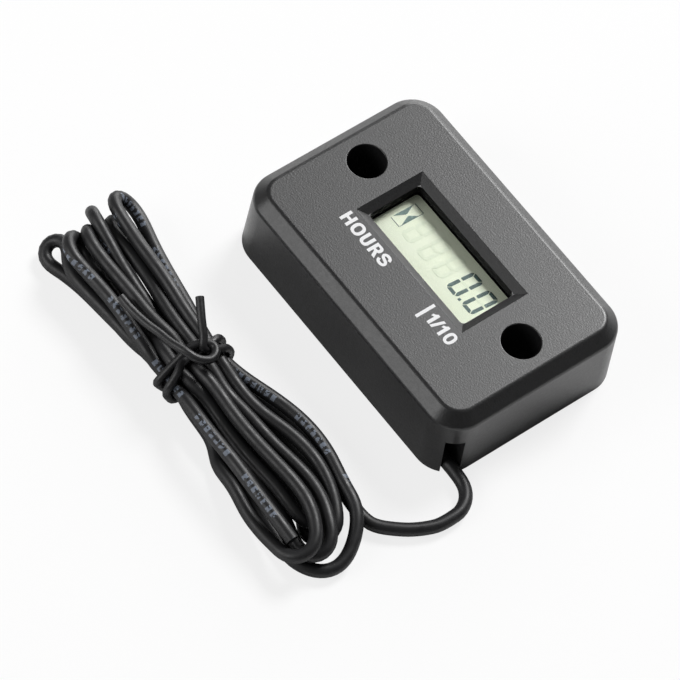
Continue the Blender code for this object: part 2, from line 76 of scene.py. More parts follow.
lens = bpy.data.cameras.new("camera")
lens.sensor_width = 36.0
lens.lens = 267.777
lens.clip_start = 0.05
lens.clip_end = 20.0
camera = bpy.data.objects.new("camera", lens)
bpy.context.scene.collection.objects.link(camera)
turn = Matrix((view_right, view_up, view_back)).transposed().to_4x4()
camera.matrix_world = Matrix.Translation(aim + stand_off * MM * view_back) @ turn
bpy.context.scene.camera = camera
print("camera at", [round(value, 3) for value in camera.matrix_world.translation])

# %% [markdown]
# ## Floor and light
# The meter lies on a white sweep. Three square soft lamps light it, because each can be moved by
# itself until one face is right. The key lamp stands behind the meter, about nineteen degrees off the
# direction that the face mirrors, so the face goes grey while the clear window shows the display and
# not the lamp. A weak lamp in front lights the chamfer nearest to us, and a low card at the back
# lights the far bevels and the one below the window.

# %% Lamps
scene = bpy.context.scene
scene.view_settings.view_transform = "Standard"


def link(piece):
    scene.collection.objects.link(piece)
    return piece


def lamp(name, direction, distance, size, power):
    """A square soft lamp that looks at the meter from a direction, sized and placed in metres."""
    data = bpy.data.lights.new(name, "AREA")
    data.shape = "SQUARE"
    data.size = size
    data.energy = power
    piece = link(bpy.data.objects.new(name, data))
    towards = Vector(direction).normalized()
    piece.location = towards * distance
    piece.rotation_mode = "QUATERNION"
    piece.rotation_quaternion = towards.to_track_quat("Z", "Y")


lamp("key softbox", (-0.20, 0.667, 0.722), distance=2.0, size=0.64, power=36.2)
lamp("front fill", (-0.35, -0.81, 0.50), distance=0.9, size=0.55, power=3.1)
lamp("back card", (-0.58, 0.80, 0.15), distance=1.0, size=0.7, power=6.2)

# %% [markdown]
# ### World and materials
# An even, dim world fills the shadows. The helpers make a Principled material with its plain values
# on its own sockets, add nodes to it and join them, so a finish can be read in a few lines.

# %% World and material helpers
world = bpy.data.worlds.new("studio")
scene.world = world
world.use_nodes = True
background = world.node_tree.nodes["Background"]
background.inputs["Color"].default_value = (1, 1, 1, 1)
background.inputs["Strength"].default_value = 0.11


def shader_of(finish):
    return finish.node_tree.nodes["Principled BSDF"]


def new_finish(name, colour, roughness, **sockets):
    finish = bpy.data.materials.new(name)
    finish.use_nodes = True
    shader = shader_of(finish)
    shader.inputs["Base Color"].default_value = (*colour, 1.0)
    shader.inputs["Roughness"].default_value = roughness
    for socket, value in sockets.items():
        shader.inputs[socket.replace("_", " ")].default_value = value
    return finish


def add_node(finish, kind, **settings):
    node = finish.node_tree.nodes.new(kind)
    for key, value in settings.items():
        if key in node.inputs:
            node.inputs[key].default_value = value
        else:
            setattr(node, key, value)
    return node


def wire(finish, *pairs):
    for source, target in pairs:
        finish.node_tree.links.new(source, target)


def blend_in(finish, part, other):
    """Show another shader in place of the finish's own, by a part of one."""
    blend = add_node(finish, "ShaderNodeMixShader")
    wire(finish, (part, blend.inputs["Fac"]), (shader_of(finish).outputs[0], blend.inputs[1]),
         (other.outputs[0], blend.inputs[2]),
         (blend.outputs[0], finish.node_tree.nodes["Material Output"].inputs["Surface"]))


print("world:", world.name)

# %% [markdown]
# ### Paper floor
# The floor is one flat sheet, near white by its own colour. Most of what the camera sees of it is
# even white, so it reads as paper and still keeps the soft shadow. A shadow catcher would need the
# picture to be put together afterwards.

# %% Paper floor
even_white = 0.8
floor_half, floor_drop = 4, 0.00005
paper = new_finish("paper floor", (0.92, 0.92, 0.92), 0.9)
glow = add_node(paper, "ShaderNodeEmission", Strength=1.0)
ray = add_node(paper, "ShaderNodeLightPath")
share = add_node(paper, "ShaderNodeMath", operation="MULTIPLY")
share.inputs[1].default_value = even_white
wire(paper, (ray.outputs["Is Camera Ray"], share.inputs[0]))
blend_in(paper, share.outputs[0], glow)
floor_mesh = bpy.data.meshes.new("floor")
sides = ((-1, -1), (1, -1), (1, 1), (-1, 1))
floor_mesh.from_pydata([(x * floor_half, y * floor_half, -floor_drop) for x, y in sides], [],
                       [(0, 1, 2, 3)])
floor = link(bpy.data.objects.new("floor", floor_mesh))
floor.data.materials.append(paper)
print("floor corners:", len(floor_mesh.vertices))

# %% [markdown]
# ## Finishes
# Black plastic isn't one flat black. In each finish a noise pattern moves the colour, the roughness
# or the height a little. An image could do that too, but it needs an unwrapped mesh, while a pattern
# on the piece's own coordinates, in metres, keeps its scale on every face.

# %% Patterns for a finish
pattern_low, pattern_high = 0.3, 0.7
dark_stop, light_stop = 0.35, 0.65


def noise(finish, scale, detail=2.0):
    place = add_node(finish, "ShaderNodeTexCoord")
    grain = add_node(finish, "ShaderNodeTexNoise", Scale=scale, Detail=detail, Roughness=0.5)
    wire(finish, (place.outputs["Object"], grain.inputs["Vector"]))
    return grain.outputs["Fac"]


def bump(finish, pattern, depth):
    node = add_node(finish, "ShaderNodeBump", Strength=1.0, Distance=depth)
    wire(finish, (pattern, node.inputs["Height"]),
         (node.outputs["Normal"], shader_of(finish).inputs["Normal"]))


def spread(finish, pattern, low, high):
    """Send a pattern to the roughness, mapped to a range."""
    node = add_node(finish, "ShaderNodeMapRange")
    for socket, value in zip(("From Min", "From Max", "To Min", "To Max"),
                             (pattern_low, pattern_high, low, high)):
        node.inputs[socket].default_value = value
    wire(finish, (pattern, node.inputs["Value"]),
         (node.outputs["Result"], shader_of(finish).inputs["Roughness"]))


def ramp(finish, pattern, *stops):
    """Send a pattern to the colour, between two stops."""
    node = add_node(finish, "ShaderNodeValToRGB")
    for element, (place, colour) in zip(node.color_ramp.elements, stops):
        element.position = place
        element.color = (*colour, 1.0)
    wire(finish, (pattern, node.inputs["Fac"]),
         (node.outputs["Color"], shader_of(finish).inputs["Base Color"]))


def shade(finish, pattern, colour, darkest, lightest):
    """Move a finish's colour between two shares of it."""
    dark, light = (tuple(value * part for value in colour) for part in (darkest, lightest))
    ramp(finish, pattern, (dark_stop, dark), (light_stop, light))


print("pattern range:", pattern_low, pattern_high)

# %% [markdown]
# ### Moulded black plastic
# The tub has a fine spark-eroded grain that spreads the light, so its face goes grey and faintly
# mottled under the lamp while its walls stay dark. The grain is far too fine to model, so it is bump.
# A thin, tighter coat gives it the sheen of a fresh moulding. The walls inside the window are painted
# shade: a darker, duller black than the tub, because they lie in shadow.

# %% Black plastics
mottle_scale = 1900.0


def grained(name, colour, roughness, size, depth, wander=0.06):
    """A plastic with a fine grain of the given size and depth in metres."""
    finish = new_finish(name, colour, roughness)
    fine = noise(finish, 1 / size, detail=3.0)
    broad = noise(finish, mottle_scale, detail=3.0)
    bump(finish, fine, depth)
    spread(finish, broad, roughness - wander, roughness + wander)
    shade(finish, fine, colour, 0.8, 1.3)
    return finish


housing_finish = grained("black grained plastic", (0.012, 0.012, 0.0125), 0.40, size=0.27 * MM,
                         depth=0.029 * MM, wander=0.04)
shader_of(housing_finish).inputs["Coat Weight"].default_value = 0.4
shader_of(housing_finish).inputs["Coat Roughness"].default_value = 0.29
holder_finish = grained("matt black plastic", (0.012, 0.012, 0.012), 0.6, size=0.3 * MM, depth=0.01 * MM)
# Painted shade: the window's inner walls, darker and less glossy than the tub they belong to.
painted_shade_wall_finish = grained("window walls painted shade", (0.006, 0.006, 0.006), 0.7, size=0.3 * MM, depth=0.01 * MM)
shader_of(painted_shade_wall_finish).inputs["Specular IOR Level"].default_value = 0.2
print("plastics:", [finish.name for finish in (housing_finish, holder_finish, painted_shade_wall_finish)])

# %% [markdown]
# ### Clear window
# The window is a sheet of clear plastic. Glass made of the Principled shader alone would throw the
# display into shadow, so the light that falls on the display passes straight through, and only what
# the camera sees is bent and mirrored.

# %% Clear window
lens_finish = new_finish("clear window", (1.0, 1.0, 1.0), 0.03, IOR=1.49, Transmission_Weight=1.0)
spread(lens_finish, noise(lens_finish, 400.0), 0.02, 0.05)
let_through = add_node(lens_finish, "ShaderNodeBsdfTransparent", Color=(0.98, 0.98, 0.98, 1.0))
kind_of_ray = add_node(lens_finish, "ShaderNodeLightPath")
lamp_light = add_node(lens_finish, "ShaderNodeMath", operation="MAXIMUM")
wire(lens_finish, (kind_of_ray.outputs["Is Shadow Ray"], lamp_light.inputs[0]),
     (kind_of_ray.outputs["Is Diffuse Ray"], lamp_light.inputs[1]))
blend_in(lens_finish, lamp_light.outputs[0], let_through)
print("finishes:", len(bpy.data.materials))

# %% [markdown]
# ## Making pieces
# A piece is built as a mesh at its place, takes a finish and rides on the one body. Lengths in the
# helpers are in millimetres and become metres when the mesh is made. The same shapes could be made
# by hand in Edit Mode, but here each operator keeps its number, so a size can still be changed.

# %% From a mesh to a piece
def to_object(name, bm, finish, sharp=30.0):
    bmesh.ops.recalc_face_normals(bm, faces=bm.faces)
    mesh = bpy.data.meshes.new(name)
    bm.to_mesh(mesh)
    bm.free()
    mesh.transform(Matrix.Scale(MM, 4))
    piece = link(bpy.data.objects.new(name, mesh))
    if finish is not None:
        mesh.materials.append(finish)
    mesh.shade_smooth()
    mesh.set_sharp_from_angle(angle=math.radians(sharp))
    return piece


def carry(piece, slot, *nodes):
    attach(piece, "root")
    if nodes:
        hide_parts(*nodes)
    return piece


# %% [markdown]
# ### Plates, turned forms and cuts
# Most of the meter is plates and turned forms. A plate is a block with its upright edges bevelled,
# and a turned form is a half section spun round. A cut takes one form out of another with the exact
# solver, which copes with faces that lie close together.

# %% Plates, turned forms and cuts
def block_bm(low, high):
    bm = bmesh.new()
    bmesh.ops.create_cube(bm, size=1.0)
    bmesh.ops.scale(bm, vec=[high[i] - low[i] for i in range(3)], verts=bm.verts)
    bmesh.ops.translate(bm, vec=[(low[i] + high[i]) / 2 for i in range(3)], verts=bm.verts)
    return bm


def upright(bm):
    return [e for e in bm.edges if abs(e.verts[0].co.z - e.verts[1].co.z) > 1e-4]


def round_edges(bm, edges, size, segments):
    bmesh.ops.bevel(bm, geom=edges, offset=size, offset_type="OFFSET", segments=segments, profile=0.5,
                    affect="EDGES", clamp_overlap=True, material=-1)


def plate_bm(length, width, radius, low_z, high_z, centre=(0, 0), segments=12):
    """A plate with rounded corners, in the plane of the face."""
    bm = block_bm((centre[0] - length / 2, centre[1] - width / 2, low_z),
                  (centre[0] + length / 2, centre[1] + width / 2, high_z))
    round_edges(bm, upright(bm), radius, segments)
    return bm


def turned_bm(profile, centre=(0, 0), sides=48):
    """A closed form turned about an upright axis from points of radius and height."""
    bm = bmesh.new()
    corners = [bm.verts.new((r, 0, z)) for r, z in profile]
    edges = [bm.edges.new(pair) for pair in zip(corners, corners[1:])]
    bmesh.ops.spin(bm, geom=corners + edges, cent=(0, 0, 0), axis=(0, 0, 1), angle=math.tau,
                   steps=sides, use_merge=True)
    bmesh.ops.remove_doubles(bm, verts=bm.verts, dist=1e-5)
    bmesh.ops.translate(bm, vec=(*centre, 0), verts=bm.verts)
    return bm


def cut(piece, *forms):
    """Cut forms out of a piece in turn. A form is a bmesh or an object, and is used up."""
    for form in forms:
        tool = form if isinstance(form, bpy.types.Object) else to_object("tool", form, None)
        change = piece.modifiers.new("cut", "BOOLEAN")
        change.operation = "DIFFERENCE"
        change.solver = "EXACT"
        change.object = tool
        settle(piece)
        bpy.data.objects.remove(tool, do_unlink=True)


def settle(piece):
    """Replace the piece's mesh by what its modifiers make of it."""
    bpy.context.view_layer.update()
    graph = bpy.context.evaluated_depsgraph_get()
    mesh = bpy.data.meshes.new_from_object(piece.evaluated_get(graph), depsgraph=graph)
    old = piece.data
    piece.modifiers.clear()
    piece.data = mesh
    mesh.name = piece.name
    bpy.data.meshes.remove(old)


# %% [markdown]
# ### Wires
# A wire is a smooth curve through a few knots, with a ring of points at each even step. A curve
# object with a bevel makes a tube too, but this one keeps count of its length and of which side is
# up, so that print can follow the wire.

# %% Wires
def catmull(knots, step, fine=24):
    """Points one step apart on a smooth curve through the knots."""
    knots = np.asarray(knots, float)
    last = len(knots) - 1
    points = []
    for i in range(last):
        before, start, end, after = (knots[min(max(i + k, 0), last)] for k in (-1, 0, 1, 2))
        for t in np.linspace(0, 1, fine, endpoint=False):
            points.append(start * (2 * t**3 - 3 * t**2 + 1) + (end - before) * 0.5 * (t**3 - 2 * t**2 + t)
                          + end * (3 * t**2 - 2 * t**3) + (after - start) * 0.5 * (t**3 - t**2))
    points.append(knots[-1])
    return even(points, step)


def unit(rows):
    return rows / np.linalg.norm(rows, axis=1)[:, None]


def length_along(points):
    return np.r_[0, np.cumsum(np.linalg.norm(np.diff(points, axis=0), axis=1))]


def even(points, step):
    """The same line with its points one step apart."""
    points = np.asarray(points, float)
    run = length_along(points)
    where = np.linspace(0, run[-1], int(round(run[-1] / step)) + 1)
    return np.stack([np.interp(where, run, points[:, k]) for k in range(3)], 1)


cap_inset, cap_dome = 0.12, 0.06


def tube(name, path, radius, finish, sides=16, mark=None):
    """A round wire along a path. Its own map holds the length in tens of millimetres and the turn
    round the wire, with 0.5 on the side that the mark directions point to."""
    path = np.asarray(path, float)
    tangent = unit(np.gradient(path, axis=0))
    side = np.cross(tangent[0], (0, 0, 1.0))
    frames = []
    for t in tangent:
        side = side - t * (side @ t)
        side /= np.linalg.norm(side)
        frames.append((side, np.cross(t, side)))
    run = length_along(path)
    start = np.zeros(len(path))
    if mark is not None:
        start = np.array([math.atan2(m @ b, m @ a) for m, (a, b) in zip(mark, frames)])
        start = np.unwrap(start) - math.pi
    bm = bmesh.new()
    rings = []
    for p, (a, b), zero in zip(path, frames, start):
        angles = zero + np.arange(sides) * math.tau / sides
        rings.append([bm.verts.new(p + radius * (math.cos(w) * a + math.sin(w) * b)) for w in angles])
    layer = bm.loops.layers.uv.new("run")
    for i in range(len(rings) - 1):
        for k in range(sides):
            after = (k + 1) % sides
            face = bm.faces.new((rings[i][k], rings[i][after], rings[i + 1][after], rings[i + 1][k]))
            spots = ((i, k), (i, k + 1), (i + 1, k + 1), (i + 1, k))
            for loop, (j, turn_step) in zip(face.loops, spots):
                loop[layer].uv = (run[j] / 10, turn_step / sides)
    for ring, p, t in ((rings[0], path[0], -tangent[0]), (rings[-1], path[-1], tangent[-1])):
        cap = bm.faces.new(ring)
        inner = bmesh.ops.inset_region(bm, faces=[cap], thickness=radius * cap_inset)
        bmesh.ops.translate(bm, vec=t * radius * cap_dome, verts=cap.verts)
    return to_object(name, bm, finish, sharp=50.0)


# %% [markdown]
# ## The pick-up lead
# One wire runs from the solder joint, out through the slot and into twelve lanes that lie side by
# side and on each other, with loops at both ends, pulled in at the waist by the tie. In a simulation
# the lanes would fall where they like, so its way is laid down point by point, in millimetres.

# %% The way out of the housing
wire_diameter = 2.1
inside = [(10.2, -14.45, 4.1), (12.6, -14.45, 4.1), (15.2, -14.52, 3.95), (18.0, -14.78, 3.1),
          (20.8, -14.8, 1.8), (23.6, -14.8, 1.3), (26.4, -14.8, 1.2)]
outside = [(29.0, -15.20, 1.15), (31.0, -16.70, 1.1), (32.0, -19.20, 1.1), (31.9, -22.00, 1.1),
           (30.9, -24.80, 1.1), (29.3, -27.40, 1.1), (26.6, -30.20, 1.1)]
hank_start = (24.0, -30.6, 1.1)
print("points inside and outside:", len(inside), len(outside))

# %% [markdown]
# ### Lanes of the hank
# A table of where each lane passes, with Y and the height at fixed places along X, keeps the hank
# readable. A pass runs the whole length once: the lane below the waist, the waist and the lane above.

# %% Lanes of the hank
upper_x = (-33, -28, -22, -16)
lower_x = (-3, 3, 9, 15, 20)
waist_x = -9.0
passes = [
    ([(-33.6, 1.9), (-30.9, 1.4), (-29.8, 1.15), (-29.7, 1.1), (-30.6, 1.1)], (-34.6, 2.4),
     [(-30.6, 1.5), (-31.2, 1.5), (-32.5, 1.6), (-34.4, 2.1)]),
    ([(-36.8, 5.6), (-36.4, 5.3), (-36.1, 5.0), (-35.3, 4.9), (-35.5, 4.7)], (-36.6, 6.3),
     [(-34.0, 4.6), (-34.3, 5.2), (-34.8, 5.8), (-35.9, 6.2)]),
    ([(-39.6, 2.3), (-40.2, 2.4), (-40.5, 2.6), (-40.7, 3.0), (-41.3, 2.6)], (-38.8, 2.4),
     [(-36.6, 2.4), (-37.2, 2.0), (-37.8, 1.9), (-38.3, 2.2)]),
    ([(-38.3, 6.6), (-38.7, 6.6), (-38.6, 6.6), (-38.2, 6.6), (-38.2, 6.3)], (-38.7, 6.3),
     [(-38.6, 6.2), (-38.9, 6.2), (-38.9, 6.4), (-39.0, 6.5)]),
    ([(-41.1, 2.2), (-41.4, 2.0), (-43.1, 2.0), (-45.0, 2.1), (-45.2, 2.7)], (-40.6, 2.4),
     [(-43.1, 1.8), (-42.5, 1.9), (-41.9, 1.9), (-41.3, 2.1)]),
    ([(-40.9, 3.6), (-41.5, 2.4), (-42.3, 1.3), (-42.9, 1.15), (-43.4, 1.15)], (-39.8, 4.3),
     [(-42.6, 3.2), (-43.0, 3.7), (-42.7, 4.0), (-42.4, 4.2)]),
    ([(-32.9, 4.4), (-30.9, 4.2), (-29.6, 4.0), (-29.8, 3.8), (-31.1, 3.6)], (-33.6, 4.4),
     [(-29.1, 4.1), (-30.3, 4.1), (-31.4, 4.1), (-32.4, 4.2)]),
    ([(-35.2, 5.6), (-34.5, 4.9), (-32.7, 4.5), (-32.2, 4.3), (-33.3, 3.8)], (-34.6, 6.3),
     [(-32.4, 6.8), (-33.1, 6.8), (-33.7, 6.8), (-34.3, 6.6)]),
    ([(-37.4, 2.0), (-37.6, 1.5), (-37.2, 1.2), (-37.0, 1.1), (-37.8, 1.1)], (-36.7, 2.4),
     [(-34.2, 2.4), (-35.2, 1.9), (-36.0, 1.7), (-36.6, 2.1)]),
    ([(-36.0, 3.3), (-34.3, 2.5), (-32.9, 1.8), (-32.3, 1.3), (-33.0, 1.2)], (-37.7, 4.3),
     [(-36.0, 6.0), (-36.8, 5.6), (-37.2, 4.8), (-37.4, 4.4)]),
    ([(-39.9, 4.8), (-40.1, 4.8), (-40.3, 4.8), (-39.9, 4.6), (-39.6, 3.9)], (-40.8, 6.2),
     [(-38.9, 2.8), (-39.8, 3.2), (-40.2, 3.4), (-40.0, 3.8)]),
    ([(-42.8, 5.8), (-43.2, 6.2), (-43.2, 6.2), (-43.5, 6.1), (-43.5, 5.7)], (-41.9, 4.8),
     [(-42.1, 6.2), (-42.1, 6.2), (-42.0, 6.2), (-42.4, 6.0)]),
]
print("passes:", len(passes))

# %% [markdown]
# ### Loops of the hank
# At each end a loop leads from one pass to the next, and the last pass ends free. The loops are as
# tight as this thin wire is folded in the hand.

# %% Loops of the hank
loops = [
    [(-34.5, -30.7, 1.6), (-35.6, -31.4, 2.3), (-35.6, -32.8, 3.3), (-34.5, -33.9, 4.3)],
    [(24.6, -37.4, 4.4), (27.3, -40.0, 3.7), (26.7, -42.2, 2.9), (23.8, -42.5, 2.3)],
    [(-34.8, -36.3, 2.6), (-35.8, -36.9, 4.2), (-34.9, -38.1, 5.7)],
    [(24.1, -39.9, 5.8), (26.5, -42.2, 5.2), (26.3, -44.2, 4.6), (23.9, -45.2, 3.8)],
    [(-35.6, -43.6, 1.5), (-37.6, -43.5, 1.6), (-38.6, -42.3, 2.1), (-37.8, -40.9, 2.9), (-35.7, -40.7, 3.6)],
    [(25.3, -43.2, 1.1), (28.3, -41.6, 1.15), (29.4, -38.9, 1.4), (28.0, -35.7, 2.0),
     (25.9, -33.2, 3.0), (23.3, -31.4, 3.5)],
    [(-36.0, -29.1, 4.2), (-37.5, -29.3, 5.0), (-37.7, -30.8, 6.2), (-36.1, -31.9, 6.9)],
    [(22.2, -34.6, 3.5), (24.2, -36.5, 2.8), (24.5, -38.9, 1.9), (22.4, -39.9, 1.2)],
    [(-36.6, -33.9, 2.6), (-38.1, -34.4, 4.1), (-37.8, -35.1, 5.6), (-36.3, -35.6, 6.3)],
    [(22.2, -34.0, 1.4), (23.5, -36.2, 2.0), (22.9, -38.8, 3.0)],
    [(-34.2, -38.3, 2.9), (-35.3, -38.7, 4.2), (-35.5, -40.1, 5.6), (-34.8, -41.4, 6.3)],
]
free_end = [(23.6, -43.5, 5.2)]


def lead_knots():
    """The wire's points in order, and the pass that each belongs to."""
    points = [*inside, *outside, hank_start]
    owner = [-1] * len(points)
    for index, (below, waist, above) in enumerate(passes):
        low = [(x, *place) for x, place in zip(lower_x, below)]
        high = [(x, *place) for x, place in zip(upper_x, above)]
        middle = [(waist_x, *waist)]
        run = low[::-1] + middle + high[::-1] if index % 2 == 0 else high + middle + low
        follow = loops[index] if index < len(loops) else free_end
        points += run + follow
        owner += [index] * (len(run) + len(follow))
    return np.array(points, float), owner


knots, owners = lead_knots()
print("loops:", len(loops), "knots of the lead:", len(knots))

# %% [markdown]
# ### Letting the wire settle
# The tables leave some lanes too near each other. A short relaxation does what real wire does when it
# is let go: it pushes lanes a wire's thickness apart, limits their bend, keeps the wire's length and
# lets nothing sink into the ground or into the tie below it. Each rule moves the points by a share of
# what is wrong, again and again.

# %% Rules for settling
tie_middle, tie_radius = -7.6, 0.66
clearance = 0.03
tie_room = 2 * tie_radius + clearance
tie_half_width, tie_slope = 2.2, 7
tightest = 1.5 * wire_diameter
home_share, stiff_share, unbend_share, length_share, apart_share = 0.03, 0.25, 0.4, 0.25, 0.35
longest_move = 0.4
own_length, look_margin, look_again = 2.4 * wire_diameter, 1.5, 8


def off_middle(rows):
    """From each point to the middle of its two neighbours."""
    away = np.zeros_like(rows)
    away[1:-1] = 0.5 * (rows[:-2] + rows[2:]) - rows[1:-1]
    return away


def relax(path, held, step, rounds=400, gap=2.14):
    """Let the wire's points settle, apart from those that are held."""
    target = path.copy()
    loose = (~held)[:, None]
    apart = int(math.ceil(own_length / step))
    first, second = np.triu_indices(len(path), apart)
    for turn_number in range(rounds):
        change = off_middle(off_middle(path))
        path = path + (home_share * (target - path) - stiff_share * change) * loose
        for _ in range(2):
            curl = off_middle(path)[1:-1]
            bent = np.linalg.norm(curl, axis=1, keepdims=True)
            share_over = np.clip(1 - step**2 / (2 * tightest) / np.maximum(bent, 1e-6), 0, 1)
            path[1:-1] += unbend_share * share_over * curl * loose[1:-1]
        for _ in range(2):
            link_vector = path[1:] - path[:-1]
            long = np.linalg.norm(link_vector, axis=1, keepdims=True)
            fix = length_share * (long - step) / long * link_vector
            path[:-1] += fix * loose[:-1]
            path[1:] -= fix * loose[1:]
        if turn_number % look_again == 0:
            near = ((path[first] - path[second])**2).sum(1) < (gap + look_margin)**2
            one, other = first[near], second[near]
        between = path[one] - path[other]
        away = np.linalg.norm(between, axis=1)
        close = away < gap
        push = between[close] * ((gap - away[close]) / np.maximum(away[close], 1e-6)
                                 * apart_share)[:, None]
        move = np.zeros_like(path)
        np.add.at(move, one[close], push)
        np.add.at(move, other[close], -push)
        path = path + np.clip(move, -longest_move, longest_move) * loose
        beside_tie = np.clip((np.abs(path[:, 0] - tie_middle) - tie_half_width) / tie_slope, 0, 1)
        lowest = wire_diameter / 2 + clearance + tie_room * (1 - beside_tie)**2
        path[:, 2] = np.where(held, path[:, 2], np.maximum(path[:, 2], lowest))
    return path


# %% [markdown]
# ### The settled lead
# The wire settles on coarse points, which is quick, and a smooth curve gives the fine ones. The
# stretch up to the ground is held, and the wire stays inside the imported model's box.

# %% The settled lead
coarse_step, fine_step = 1.4, 0.7
box_margin = 0.05


def inside_box(path):
    """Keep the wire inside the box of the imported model, which the hank's solid sets."""
    low = np.array(cad_box[0]) / MM + wire_diameter / 2 + box_margin
    high = np.array(cad_box[1]) / MM - wire_diameter / 2 - box_margin
    return np.clip(path, low, np.maximum(high, path[0]))


coarse = catmull(knots, coarse_step)
held_until = np.linalg.norm(coarse - np.array(outside[-1]), axis=1).argmin()
held = np.arange(len(coarse)) <= held_until
settled = inside_box(relax(coarse, held, coarse_step))
lead_path = catmull(settled, fine_step)

# %% [markdown]
# ## The wire's jacket and its print
# The jacket has a line of pale print on one side. The wire turns as it is folded, so the print shows
# on some lanes only. Twisting the mesh would do that, but it is enough to turn its map: each lane
# says whether its print faces up, and the turn runs smoothly from one lane to the next.

# %% Print side
printed_lanes, half_printed_lane, half_printed_below_x = (11, 6), 9, -27
turned_away = math.pi * 0.85
blend_points = 19
knot_index = [np.linalg.norm(coarse - knot, axis=1).argmin() for knot in knots]
knot_share = np.maximum.accumulate(knot_index) / (len(coarse) - 1)
path_share = np.linspace(0, 1, len(lead_path))
lane = np.array(owners)[np.searchsorted(knot_share, path_share, side="right") - 1]
near_top_end = lead_path[:, 0] < half_printed_below_x
printed = (np.isin(lane, printed_lanes) | ((lane == half_printed_lane) & near_top_end)).astype(float)
kernel = np.hanning(blend_points)
printed = np.convolve(np.pad(printed, blend_points // 2, mode="edge"), kernel / kernel.sum(), mode="valid")
swing = (1 - printed) * turned_away
tangents = unit(np.gradient(lead_path, axis=0))
up = unit(np.array(view_back) - tangents * (tangents @ np.array(view_back))[:, None])
across = np.cross(tangents, up)
print_side = up * np.cos(swing)[:, None] + across * np.sin(swing)[:, None]
print("printed share of the lead:", round(float(printed.mean()), 2))

# %% [markdown]
# ### Jacket and print
# The jacket is soft black plastic, smoother than the tub. The material works out the print from the
# wire's own map: its length gives dashes in groups, its turn gives the line, and noise wears some of
# it off. The dashes say nothing.

# %% Jacket and print
jacket = new_finish("wire jacket", (0.013, 0.013, 0.014), 0.45, Specular_IOR_Level=0.48)
run_map = add_node(jacket, "ShaderNodeUVMap", uv_map="run")
parts_of = add_node(jacket, "ShaderNodeSeparateXYZ")
wire(jacket, (run_map.outputs["UV"], parts_of.inputs["Vector"]))
scuff = noise(jacket, 700.0, detail=4.0)
bump(jacket, scuff, 0.02 * MM)
spread(jacket, scuff, 0.39, 0.53)


def jacket_math(operation, first, second=None):
    node = add_node(jacket, "ShaderNodeMath", operation=operation)
    for socket, value in zip(node.inputs, (first, second)):
        if isinstance(value, (int, float)):
            socket.default_value = value
        elif value is not None:
            wire(jacket, (value, socket))
    return node.outputs[0]


line_half, worn_off = 0.075, 0.44
length_10mm, around = parts_of.outputs["X"], parts_of.outputs["Y"]


def marks(in_10mm, part):
    """So many marks in 10 mm of wire, each as long as a part of its place."""
    place = jacket_math("FRACT", jacket_math("MULTIPLY", length_10mm, in_10mm))
    return jacket_math("LESS_THAN", place, part)


in_dash, in_group = marks(in_10mm=8.5, part=0.6), marks(in_10mm=0.85, part=0.68)
off_line = jacket_math("ABSOLUTE", jacket_math("SUBTRACT", around, 0.5))
in_line = jacket_math("LESS_THAN", off_line, line_half)
flecks = add_node(jacket, "ShaderNodeTexNoise", Scale=14.0, Detail=1.0)
stretch = add_node(jacket, "ShaderNodeCombineXYZ")
wire(jacket, (length_10mm, stretch.inputs["X"]), (around, stretch.inputs["Y"]),
     (stretch.outputs[0], flecks.inputs["Vector"]))
worn = jacket_math("GREATER_THAN", flecks.outputs["Fac"], worn_off)
ink_share = jacket_math("MULTIPLY", jacket_math("MULTIPLY", in_line, in_dash),
                        jacket_math("MULTIPLY", in_group, worn))
ramp(jacket, ink_share, (0.0, (0.013, 0.013, 0.014)), (1.0, (0.17, 0.195, 0.24)))

lead = tube("pick-up_lead", lead_path, wire_diameter / 2, jacket, sides=16, mark=print_side)
carry(lead, "wire_jacket", "pickup_lead", "lead_hank")
print("lead triangles", 2 * len(lead.data.polygons))

# %% [markdown]
# ## The tie
# A thin black wire tie goes round the waist twice. It is drawn tight, so a plain ring wouldn't do: at
# each angle it lies on the strand that reaches farthest that way.

# %% The tie's seat on the strands
def strands_at(x):
    """Where the wire crosses a plane across the hank, as points of Y and Z."""
    before, after = lead_path[:-1], lead_path[1:]
    cross = (before[:, 0] - x) * (after[:, 0] - x) <= 0
    before, after = before[cross], after[cross]
    share_of = (x - before[:, 0]) / (after[:, 0] - before[:, 0])
    return before[:, 1:] + (after[:, 1:] - before[:, 1:]) * share_of[:, None]


def tie_point(x, angle, reach):
    """The tie's centre on the strands' outline at an angle seen from the lower end."""
    outward = np.array((math.cos(angle), math.sin(angle)))
    strands = strands_at(x)
    farthest = strands[(strands @ outward).argmax()]
    y, z = farthest + outward * reach
    return (x, y, z)


print("strands under the tie:", len(strands_at(waist_x)))

# %% [markdown]
# ### The tie's wraps and ends
# Its ends are twisted once on top: one stands up, the other lies along the hank. The wraps come from
# the strands, with a table of where the tie stands along the hank after so many turns, and the ends
# are laid down point by point.

# %% The tie
turns_done = (0, 0.25, 0.75, 0.88, 1.0, 1.25, 1.75, 1.88)
tie_x = (-6.7, -6.95, -6.2, -6.4, -8.2, -9.0, -8.5, -8.4)
upright_end = [(-13.5, -33.6, 12.5), (-10.9, -35.1, 11.6), (-8.7, -36.2, 10.5), (-7.4, -36.9, 9.5)]
lying_end = [(-8.7, -39.2, 8.8), (-8.6, -37.8, 9.5), (-8.0, -36.3, 9.7), (-6.8, -35.5, 9.7),
             (-5.6, -36.2, 9.7), (-5.3, -37.6, 9.8), (-6.3, -39.0, 10.0), (-8.4, -39.9, 10.2),
             (-10.7, -40.4, 9.6), (-13.3, -40.6, 8.9), (-16.1, -41.1, 8.5), (-19.2, -41.4, 8.3),
             (-21.7, -41.4, 8.2)]
first_turn, last_turn, steps_a_turn = 0.03, 1.88, 48
wrap_step, tie_step, knot_every = 0.5, 0.4, 3
reach = wire_diameter / 2 + tie_radius + 0.02
wraps = []
for turn in np.arange(first_turn, last_turn, 1 / steps_a_turn):
    wraps.append(tie_point(np.interp(turn, turns_done, tie_x), (0.25 - turn) * math.tau, reach))
